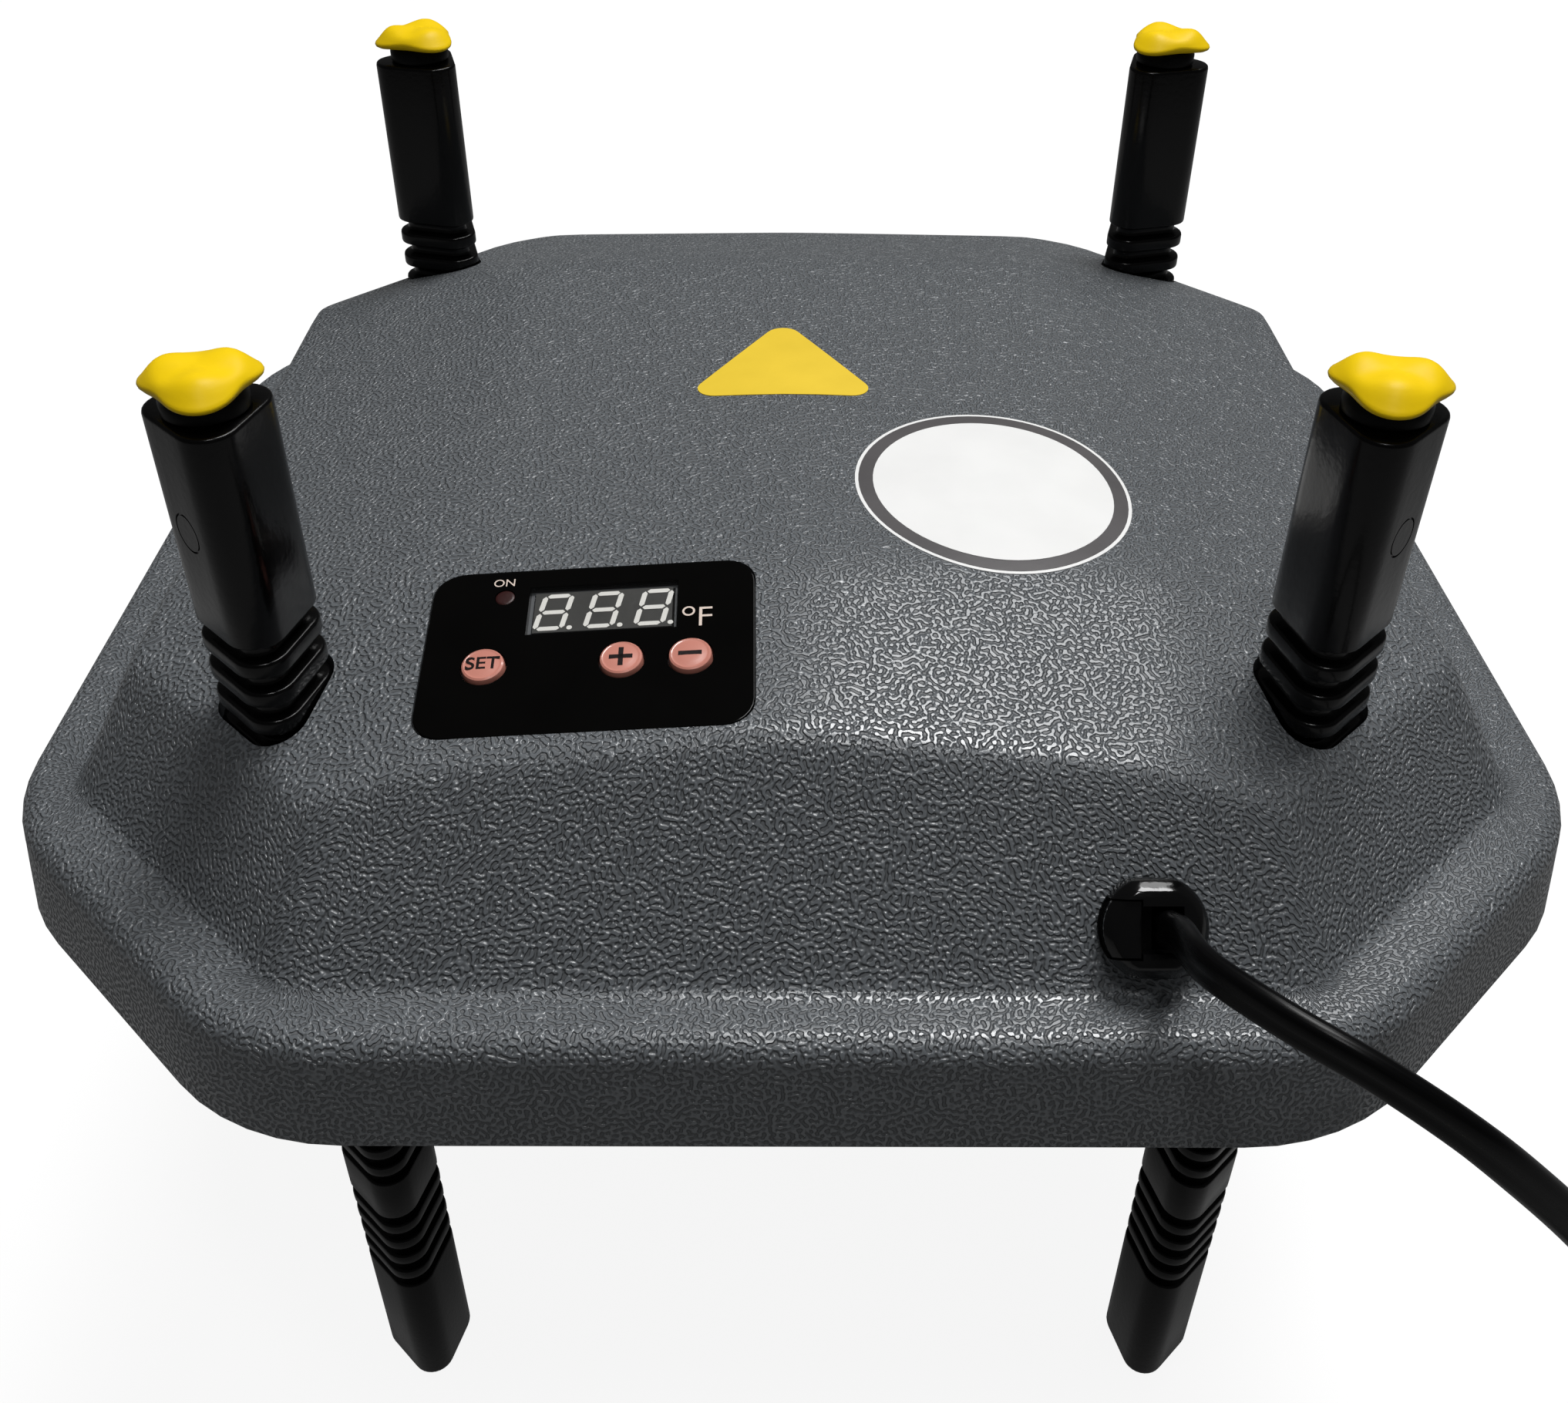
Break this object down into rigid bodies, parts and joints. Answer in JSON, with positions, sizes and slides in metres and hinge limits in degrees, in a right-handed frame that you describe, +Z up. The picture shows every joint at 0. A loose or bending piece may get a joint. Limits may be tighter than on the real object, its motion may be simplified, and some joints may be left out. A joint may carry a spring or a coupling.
{
  "type": "brooder heating plate",
  "caption": "Square domed heating plate with cut corners on grooved slide-up legs with yellow caps, sloped control panel with display and buttons, flat mains cord.",
  "frame": {"origin": "floor point below the middle of the plate, between the feet", "axes": "+Z up, -Y towards the front with the panel and the cord, +X to the right seen from the front"},
  "size_m": [0.3356, 0.3385, 0.2252],
  "materials": {
    "housing": "fine leather-like moulded grain",
    "base": "smooth satin",
    "steel": "plated",
    "mat": "smooth",
    "foil": "rolled",
    "insulation": "felted",
    "sensor": "moulded",
    "panel": "gloss",
    "window": "clear gloss",
    "display": "satin",
    "lamp": "tinted",
    "button": "satin",
    "component": "moulded",
    "board": "lacquered",
    "wire": "smooth",
    "bushing": "satin",
    "cord": "satin",
    "tie": "satin",
    "blade": "plated",
    "guide": "satin",
    "leg": "satin",
    "neck": "satin",
    "cap": "satin"
  },
  "bodies": {
    "plate": {"top_housing": "housing", "base_plate": "base", "base_screws": "steel", "heating_mat": "mat", "heat_spreader": "foil", "insulation_pad": "insulation", "thermal_cutout": "sensor", "thermistor": "sensor", "panel_overlay": "panel", "display_window": "window", "display_module": "display", "status_lamp": "lamp", "tact_switches": "component", "control_board": "board", "board_screws": "steel", "relay": "component", "terminal_block": "component", "mains_capacitor": "component", "internal_wiring": "wire", "cord_bushing": "bushing", "bushing_wedge": "bushing", "supply_cord": "cord", "cord_coil": "cord", "coil_tie": "tie", "plug_body": "cord", "plug_blades": "blade", "leg_guide_fl": "guide", "leg_spring_fl": "steel", "leg_guide_fr": "guide", "leg_spring_fr": "steel", "leg_guide_bl": "guide", "leg_spring_bl": "steel", "leg_guide_br": "guide", "leg_spring_br": "steel"},
    "leg_fl": {"leg_tube_fl": "leg", "leg_plug_fl": "neck", "leg_cap_fl": "cap"},
    "leg_fr": {"leg_tube_fr": "leg", "leg_plug_fr": "neck", "leg_cap_fr": "cap"},
    "leg_bl": {"leg_tube_bl": "leg", "leg_plug_bl": "neck", "leg_cap_bl": "cap"},
    "leg_br": {"leg_tube_br": "leg", "leg_plug_br": "neck", "leg_cap_br": "cap"},
    "set_key": {"set_button": "button"},
    "plus_key": {"plus_button": "button"},
    "minus_key": {"minus_button": "button"}
  },
  "joints": [
    {"name": "leg_fl_slide", "type": "slide", "parent": "plate", "child": "leg_fl", "axis": [0, 0, 1], "range_m": [-0.0329, 0.0987]},
    {"name": "leg_fr_slide", "type": "slide", "parent": "plate", "child": "leg_fr", "axis": [0, 0, 1], "range_m": [-0.0329, 0.0987]},
    {"name": "leg_bl_slide", "type": "slide", "parent": "plate", "child": "leg_bl", "axis": [0, 0, 1], "range_m": [-0.0329, 0.0987]},
    {"name": "leg_br_slide", "type": "slide", "parent": "plate", "child": "leg_br", "axis": [0, 0, 1], "range_m": [-0.0329, 0.0987]},
    {"name": "set_key_press", "type": "slide", "parent": "plate", "child": "set_key", "axis": [0.0682, 0.2079, -0.9758], "range_m": [0, 0.0005], "stiffness_N_per_m": 2000},
    {"name": "plus_key_press", "type": "slide", "parent": "plate", "child": "plus_key", "axis": [0.0682, 0.2079, -0.9758], "range_m": [0, 0.0005], "stiffness_N_per_m": 2000},
    {"name": "minus_key_press", "type": "slide", "parent": "plate", "child": "minus_key", "axis": [0.0682, 0.2079, -0.9758], "range_m": [0, 0.0005], "stiffness_N_per_m": 2000}
  ]
}
